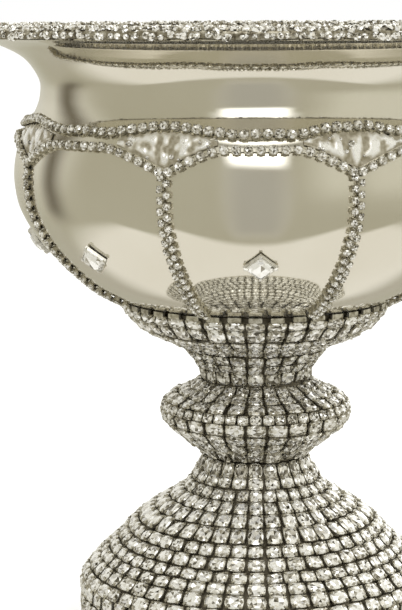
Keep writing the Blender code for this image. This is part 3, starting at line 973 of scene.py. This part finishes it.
def add_slab(pile, face, back, shine):
    """A closed slab between two equal grids of points, with a tone for each point of its face."""
    rows, columns = face.shape[:2]
    size = rows * columns
    faces, tones = [], []
    for row in range(rows - 1):
        for column in range(columns - 1):
            a = row * columns + column
            b, c, d = a + 1, a + columns + 1, a + columns
            faces.append((a, b, c, d))
            faces.append((size + a, size + d, size + c, size + b))
            tones += [shine[row, column], 0.0]
    border = [(0, i) for i in range(columns)] + [(i, columns - 1) for i in range(1, rows)]
    border += [(rows - 1, i) for i in range(columns - 2, -1, -1)] + [(i, 0) for i in range(rows - 2, 0, -1)]
    border = [row * columns + column for row, column in border]
    for a, b in zip(border, border[1:] + border[:1]):
        faces.append((a, size + a, size + b, b))
        tones.append(0.0)
    points = np.concatenate([face.reshape(-1, 3), back.reshape(-1, 3)])
    pile.add(points[None], *flat_faces(faces), METAL_SLOT, np.array([tones]))


# Square jewels


def squared(template, corner):
    """A round template made square, its corners at the given distance along the axes."""
    points, corners, sizes = template
    points = points.copy()
    radius = np.hypot(points[:, 0], points[:, 1])
    turn = np.arctan2(points[:, 1], points[:, 0])
    reach = np.abs(np.cos(turn)) + np.abs(np.sin(turn))
    points[:, :2] *= np.where(radius > 0, corner / reach, 0.0)[:, None]
    return points, corners, sizes


def make_jewel(panel, metal, stone):
    """A square bezel with four corner claws, and the square-cut crystal in it."""
    rng = np.random.default_rng(SEED + 50 + panel)
    angle = np.array([sum(panel_edges(panel)) / 2])
    height = np.array([JEWEL_HEIGHT])
    normal = turned(angle, *slope_at(BOWL_SKIN, height, 3.0))
    seat = Places(on_skin(angle, height)[0], sideways(angle), normal)
    rings = [ring_points(32, radius, BEZEL_LIFT + height) for radius, height in BEZEL_LEVELS]
    bezel, gem = Pile(), Pile()
    seat.put(bezel, squared(stacked(rings), BEZEL_CORNER), (1, 1, 1), METAL_SLOT)
    for quarter in range(4):
        seat.put(bezel, BEZEL_CLAW, (1, 1, 1), METAL_SLOT, quarter * math.pi / 2)
    cut = squared(WIDE_CUT, BEZEL_CORNER * JEWEL_SHARE)
    tones = painted_facet_reflections(rng, 1, len(cut[2]), *JEWEL_SHARES)
    seat.lifted(BEZEL_LIFT + JEWEL_LIFT).put(gem, cut, (1, 1, JEWEL_CROWN), STONE_SLOT, tones=tones)
    for pile, piece, slot, part in (
        (bezel, "bezel_frame", "chain_setting", "bezel"), (gem, "square_stone", "crystal", "square_crystal"),
    ):
        finish_piece(pile.mesh(f"{piece}_{panel + 1}"), [metal, stone], slot, f"{part}_{panel + 1}")


# Stem and foot


def row_places(height, count, rng):
    """Places for a ring of stones on the stem's envelope, set by hand and so a little uneven."""
    angles = (np.arange(count) + rng.uniform(-0.035, 0.035, count)) * 360.0 / count
    heights = height + rng.uniform(-0.10, 0.10, count)
    origin = turned(angles, radius_at(STEM_SKIN, heights), heights)
    return Places(origin, sideways(angles), turned(angles, *slope_at(STEM_SKIN, heights, 1.2)))


def travel_at(height):
    """How far down the stem's outline a height lies."""
    return np.interp(height, STEM_SKIN[::-1, 1], STEM_TRAVEL[::-1])


def make_band(index, name, band, metal, stone):
    """A belt of cut stones in claw cups, one ring close above another."""
    rng = np.random.default_rng(SEED + 70 + index)
    part = name.split("_")[0]
    top, bottom, rows = band
    marks = travel_at(np.array([height for height, count in rows]))
    edges = np.concatenate([[travel_at(top)], (marks[1:] + marks[:-1]) / 2, [travel_at(bottom)]])
    pile = Pile()
    for (height, count), start, end in zip(rows, edges, edges[1:]):
        middle = float(np.interp((start + end) / 2, STEM_TRAVEL, STEM_SKIN[:, 1]))
        width = math.tau * radius_at(STEM_SKIN, middle) / count * COLUMN_SHARE
        places = row_places(middle, count, rng).lifted(-SETTING_DEPTH)
        length = end - start - ROW_GAP[part]
        set_stones(pile, places, rng, width, length, SETTING_DEPTH, PAINTED_FACET_SHARES[part], True)
    if name == "collar_band_upper":
        add_tabs(pile, rng)
    mesh = pile.mesh(name + "_stones")
    finish_piece(mesh, [metal, stone], "stone_band", name)


def add_tabs(pile, rng):
    """Plain metal tabs above the collar's first stones, with slots between."""
    tabs = row_places(TAB_HEIGHT, TAB_COUNT, rng)
    tab = block(((-0.9, -0.1, 2.1, -0.7), (-0.9, 0.1, 2.2, -0.1), (-0.8, 0.1, 2.1, 0.9)))
    points, corners, sizes = tab
    upright = np.stack([points[:, 1], points[:, 2], points[:, 0]], 1)
    tabs.put(pile, (upright, corners, sizes), (1, 1, 1), METAL_SLOT)


# Base and fasteners


def make_base(mirror, steel, cloth):
    ring_middle = (BASE_TOP + BASE_BOTTOM) / 2
    bead_radius = (BASE_TOP - BASE_BOTTOM) / 2 - 0.5
    loop = [(BASE_INNER, BASE_TOP), (BASE_RADIUS - 1.2, BASE_TOP)]
    loop += arc((BASE_RADIUS - 1.2, BASE_TOP - 0.5), 0.5, 90, -20, 5)
    loop += arc((BASE_RADIUS - bead_radius, ring_middle), bead_radius, 62, -62, 16)
    loop += arc((BASE_RADIUS - 1.2, BASE_BOTTOM + 0.5), 0.5, 20, -90, 5)
    loop += [(BASE_INNER, BASE_BOTTOM)]
    turn_piece("base_moulding", loop, 160, mirror, "mirror_plate", "base_ring")
    loop = disc_loop(0, PLATE_RADIUS, PLATE_TOP, PLATE_BOTTOM)
    turn_piece("base_cover", loop, 96, steel, "plain_steel", "base_plate")
    make_felt(cloth)


def make_felt(cloth):
    """A felt disc with a matted face and a soft, slightly ragged edge."""
    rng = np.random.default_rng(SEED + 90)
    loop = [(0, FELT_TOP), (FELT_RADIUS - 0.5, FELT_TOP), (FELT_RADIUS, FELT_TOP - 0.6)]
    loop += [(FELT_RADIUS, 0.6), (FELT_RADIUS - 0.5, 0.05)]
    loop += [(FELT_RADIUS * part, 0.0) for part in (0.97, 0.8, 0.6, 0.4, 0.2, 0.0)]

    def matted(radius, height, _angles):
        rough = rng.uniform(0, 1, radius.shape)
        edge = radius > FELT_RADIUS - 0.8
        radius = np.where(edge, radius - 0.25 * rough, radius)
        return radius, np.where((radius > 1) & (height < 0.04), height + 0.12 * rough, height)

    turn_piece("felt_disc", loop, 144, cloth, "felt", "felt_pad", matted)


def make_fasteners(steel):
    """The threaded rod, and a washer and a nut at each end of it."""
    count = int((ROD_TOP - ROD_BOTTOM - 1.0) / THREAD_PITCH * 4)
    loop = [(0, ROD_TOP), (ROD_RADIUS - 0.6, ROD_TOP)]
    loop += [(ROD_RADIUS, z) for z in np.linspace(ROD_TOP - 0.5, ROD_BOTTOM + 0.5, count)]
    loop += [(ROD_RADIUS - 0.6, ROD_BOTTOM), (0, ROD_BOTTOM)]

    def thread(radius, height, angles):
        phase = (height / THREAD_PITCH + angles / 360.0) % 1.0
        groove = THREAD_DEPTH * (1 - np.abs(phase * 2 - 1))
        return np.where(radius > ROD_RADIUS - 0.1, radius - groove, radius), height

    turn_piece("threaded_rod", loop, 24, steel, "plain_steel", "tie_rod", thread, 60.0)
    for end in ("bowl", "foot"):
        low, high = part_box(f"{end}_washer")
        loop = disc_loop(HOLE_RADIUS, WASHER_RADIUS, high.z / MM, low.z / MM, 0.25)
        turn_piece(f"{end}_washer_disc", loop, 64, steel, "plain_steel", f"{end}_washer")
        low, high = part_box(f"{end}_nut")
        make_nut(end, high.z / MM, low.z / MM, steel)


def make_nut(end, top, bottom, steel):
    """A hexagonal nut with chamfered corners."""
    loop = [(HOLE_RADIUS, top - 0.3)]
    loop += disc_loop(HOLE_RADIUS + 0.3, NUT_HALF, top, bottom, NUT_HALF * 0.1, 0.45)
    loop += [(HOLE_RADIUS, bottom + 0.3)]

    def hexagon(radius, height, angles):
        flat = NUT_HALF * math.cos(math.pi / 6)
        reach = flat / np.cos(np.radians((angles + 30) % 60 - 30))
        return np.minimum(radius, reach), height

    turn_piece(f"{end}_nut_hex", loop, 72, steel, "plain_steel", f"{end}_nut", hexagon, 25.0)


# Studio


def soft_step(tree, value, middle, softness):
    """From 0 below a middle value to 1 above it, over twice the softness."""
    return node(
        tree, "ShaderNodeMapRange",
        {"Value": value, "From Min": middle - softness, "From Max": middle + softness},
        interpolation_type="SMOOTHSTEP",
    ).outputs[0]


# Each light or wall of the studio, as seen from the cup: middle azimuth, half width, lowest and
# highest elevation, how much its lower edge falls a degree to the right, softness of its edge,
# all in degrees, and its colour
ROOM = (
    ("ceiling", 0, 400, 62, 120, 0.0, 16, (0.74, 0.72, 0.63)),
    ("right_wall", 75, 40, -10, 62, 0.0, 18, (0.66, 0.64, 0.54)),
    ("rear_wall", 180, 80, -5, 60, 0.0, 18, (0.74, 0.72, 0.64)),
)
LIGHTS = (
    ("front_glow", 0, 21, -60, 42, 0.0, 6, (0.50, 0.48, 0.405)),
    ("front_screen", 0, 15, -52, 20, 0.0, 8, (0.43, 0.416, 0.364)),
    ("front_spill", 0, 24, 33, 45, 0.0, 6, (0.95, 0.94, 0.88)),
    ("front_softbox", 0, 17.5, 23, 43, 0.06, 6, (2.4, 2.4, 2.35)),
    ("front_line", 0, 32, 45, 49, 0.0, 3, (0.34, 0.325, 0.28)),
    ("top_softbox", 0, 30, 51, 84, 0.0, 4, (2.2, 2.2, 2.15)),
    ("left_gap", -117, 9, -24, 50, 0.0, 10, (0.16, 0.14, 0.10)),
    ("rear_right_softbox", 140, 22, 5, 55, 0.0, 4, (1.8, 1.8, 1.75)),
)
WALL = (0.45, 0.43, 0.335)
TABLE = (0.86, 0.835, 0.765)
TABLE_SLOPE = 0.47
UNDER_CUP = (0.47, 0.445, 0.37)
# Where the table and the shade under the cup begin: the middle and softness of each step, in
# degrees of elevation or as a part of a direction
TABLE_DROP = (-38.0, 9.0)
TABLE_EDGE = (0.0, 0.06)
SHADE_DROP = (-0.45, 0.2)
SHADE_EDGE = (0.60, 0.15)
SEEN_WHITE = (1.0, 1.0, 0.995)


def make_studio():
    """A white surround for the eye, and for reflections a warm tent with softboxes in it."""
    world = bpy.data.worlds.new("studio")
    bpy.context.scene.world = world
    world.use_nodes = True
    tree = world.node_tree
    background = tree.nodes["Background"]
    direction = node(tree, "ShaderNodeTexCoord").outputs["Generated"]
    split = node(tree, "ShaderNodeSeparateXYZ", {"Vector": direction}).outputs
    towards = math_node(tree, "MULTIPLY", split["Y"], -1.0)
    azimuth = math_node(tree, "DEGREES", math_node(tree, "ARCTAN2", split["X"], towards))
    elevation = math_node(tree, "DEGREES", math_node(tree, "ARCSINE", split["Z"]))
    color = (*WALL, 1.0)
    for row in ROOM:
        color = studio_layer(tree, color, azimuth, elevation, *row)
    behind = math_node(tree, "MULTIPLY_ADD", split["Z"], -TABLE_SLOPE, split["Y"])
    down = math_node(tree, "SUBTRACT", 1.0, soft_step(tree, elevation, *TABLE_DROP))
    mask = math_node(tree, "MULTIPLY", down, soft_step(tree, behind, *TABLE_EDGE))
    color = studio_mix(tree, "table", mask, color, TABLE)
    steep = math_node(tree, "SUBTRACT", 1.0, soft_step(tree, split["Z"], *SHADE_DROP))
    mask = math_node(tree, "MULTIPLY", steep, soft_step(tree, split["Y"], *SHADE_EDGE))
    color = studio_mix(tree, "shade_under_cup", mask, color, UNDER_CUP)
    for row in LIGHTS:
        color = studio_layer(tree, color, azimuth, elevation, *row)
    path = node(tree, "ShaderNodeLightPath").outputs
    plain = math_node(tree, "MAXIMUM", path["Is Camera Ray"], path["Is Diffuse Ray"])
    tree.links.new(studio_mix(tree, "plain", plain, color, SEEN_WHITE), background.inputs["Color"])


def studio_layer(tree, color, azimuth, elevation, name, middle, half, low, high, fall, soft, paint):
    """Paints one light or wall over what is there already."""
    swung = math_node(tree, "SUBTRACT", azimuth, float(middle))
    wrapped = math_node(tree, "WRAP", swung, 180.0, -180.0) if half < 180 else swung
    aside = math_node(tree, "ABSOLUTE", wrapped)
    inside = math_node(tree, "SUBTRACT", 1.0, soft_step(tree, aside, half, soft))
    raised = math_node(tree, "MULTIPLY_ADD", azimuth, fall, elevation) if fall else elevation
    above = soft_step(tree, raised, low, soft)
    below = math_node(tree, "SUBTRACT", 1.0, soft_step(tree, elevation, high, soft))
    mask = math_node(tree, "MULTIPLY", math_node(tree, "MULTIPLY", inside, above), below)
    return studio_mix(tree, name, mask, color, paint)


def studio_mix(tree, name, mask, color, paint):
    inputs = {"Factor": mask, "A": color, "B": (*paint, 1.0)}
    return node(tree, "ShaderNodeMix", inputs, data_type="RGBA", label=name).outputs["Result"]


def make_floor(material):
    mesh = bpy.data.meshes.new("floor")
    reach = 30.0
    corners = [(-reach, -reach, 0), (reach, -reach, 0), (reach, reach, 0), (-reach, reach, 0)]
    mesh.from_pydata(corners, [], [(0, 1, 2, 3)])
    mesh.materials.append(material)
    floor = bpy.data.objects.new("floor", mesh)
    bpy.context.scene.collection.objects.link(floor)
    floor.visible_glossy = False


def make_lights():
    """Two broad area lights over the floor, kept out of the mirror's reflections."""
    for name, place, size, power in (
        ("left_light", (-1.2, -0.9, 1.5), 1.4, 16.0), ("right_light", (1.3, -0.5, 1.6), 1.4, 14.0),
    ):
        data = bpy.data.lights.new(name, "AREA")
        data.energy = power
        data.size = size
        light = bpy.data.objects.new(name, data)
        light.location = place
        light.rotation_euler = (Vector((0, 0, 0.1)) - Vector(place)).to_track_quat("-Z", "Y").to_euler()
        light.visible_glossy = False
        bpy.context.scene.collection.objects.link(light)


def make_camera():
    data = bpy.data.cameras.new("camera")
    data.sensor_width = 36.0
    data.lens = CAMERA_LENS
    data.shift_y = CAMERA_SHIFT
    data.clip_start = 0.01
    data.clip_end = 100.0
    camera = bpy.data.objects.new("camera", data)
    camera.location = Vector(EYE) * MM
    aim = Euler((math.radians(90 - CAMERA_PITCH), 0, math.radians(CAMERA_TURN))).to_matrix()
    camera.rotation_euler = (aim @ Matrix.Rotation(math.radians(CAMERA_ROLL), 3, "Z")).to_euler()
    bpy.context.scene.collection.objects.link(camera)
    bpy.context.scene.camera = camera
    bpy.context.scene.view_settings.view_transform = "Standard"


def main():
    mirror, stone, leaf = mirror_plate(), crystal(), silver_leaf()
    metal = setting_metal("setting_metal", (0.22, 0.195, 0.14), (0.52, 0.49, 0.40), (0.80, 0.775, 0.69), 0.86)
    # The bezels get a lighter copy of the setting metal: painted light, standing in for the light their walls
    # reflect.
    bright = setting_metal("bezel_metal_painted_lighter", (0.55, 0.53, 0.46), (0.76, 0.74, 0.68), (0.93, 0.92, 0.88), 0.80)
    # A darker copy of the setting metal, for the rim's carrier.
    darker_metal = setting_metal("darker_setting_metal", (0.12, 0.10, 0.065), (0.30, 0.27, 0.20), (0.62, 0.59, 0.50), 0.82)
    steel, cast = plain_steel(), dark_casting()
    make_camera()
    make_studio()
    make_lights()
    make_floor(pale_floor())
    make_bowl(mirror)
    make_rim(darker_metal, stone)
    make_top_chain(metal, stone)
    for panel in range(PANELS):
        make_panel_chain(panel, metal, stone)
        make_spandrel(panel, leaf, stone)
        make_jewel(panel, bright, stone)
    for index, (name, band) in enumerate(STEM_ROWS.items()):
        make_band(index, name, band, metal, stone)
    make_base(mirror, steel, felt())
    make_fasteners(steel)
    for name in ("collar_casting", "knop_casting", "foot_casting"):
        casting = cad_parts[name]
        casting.data.materials.clear()
        casting.data.materials.append(cast)


main()
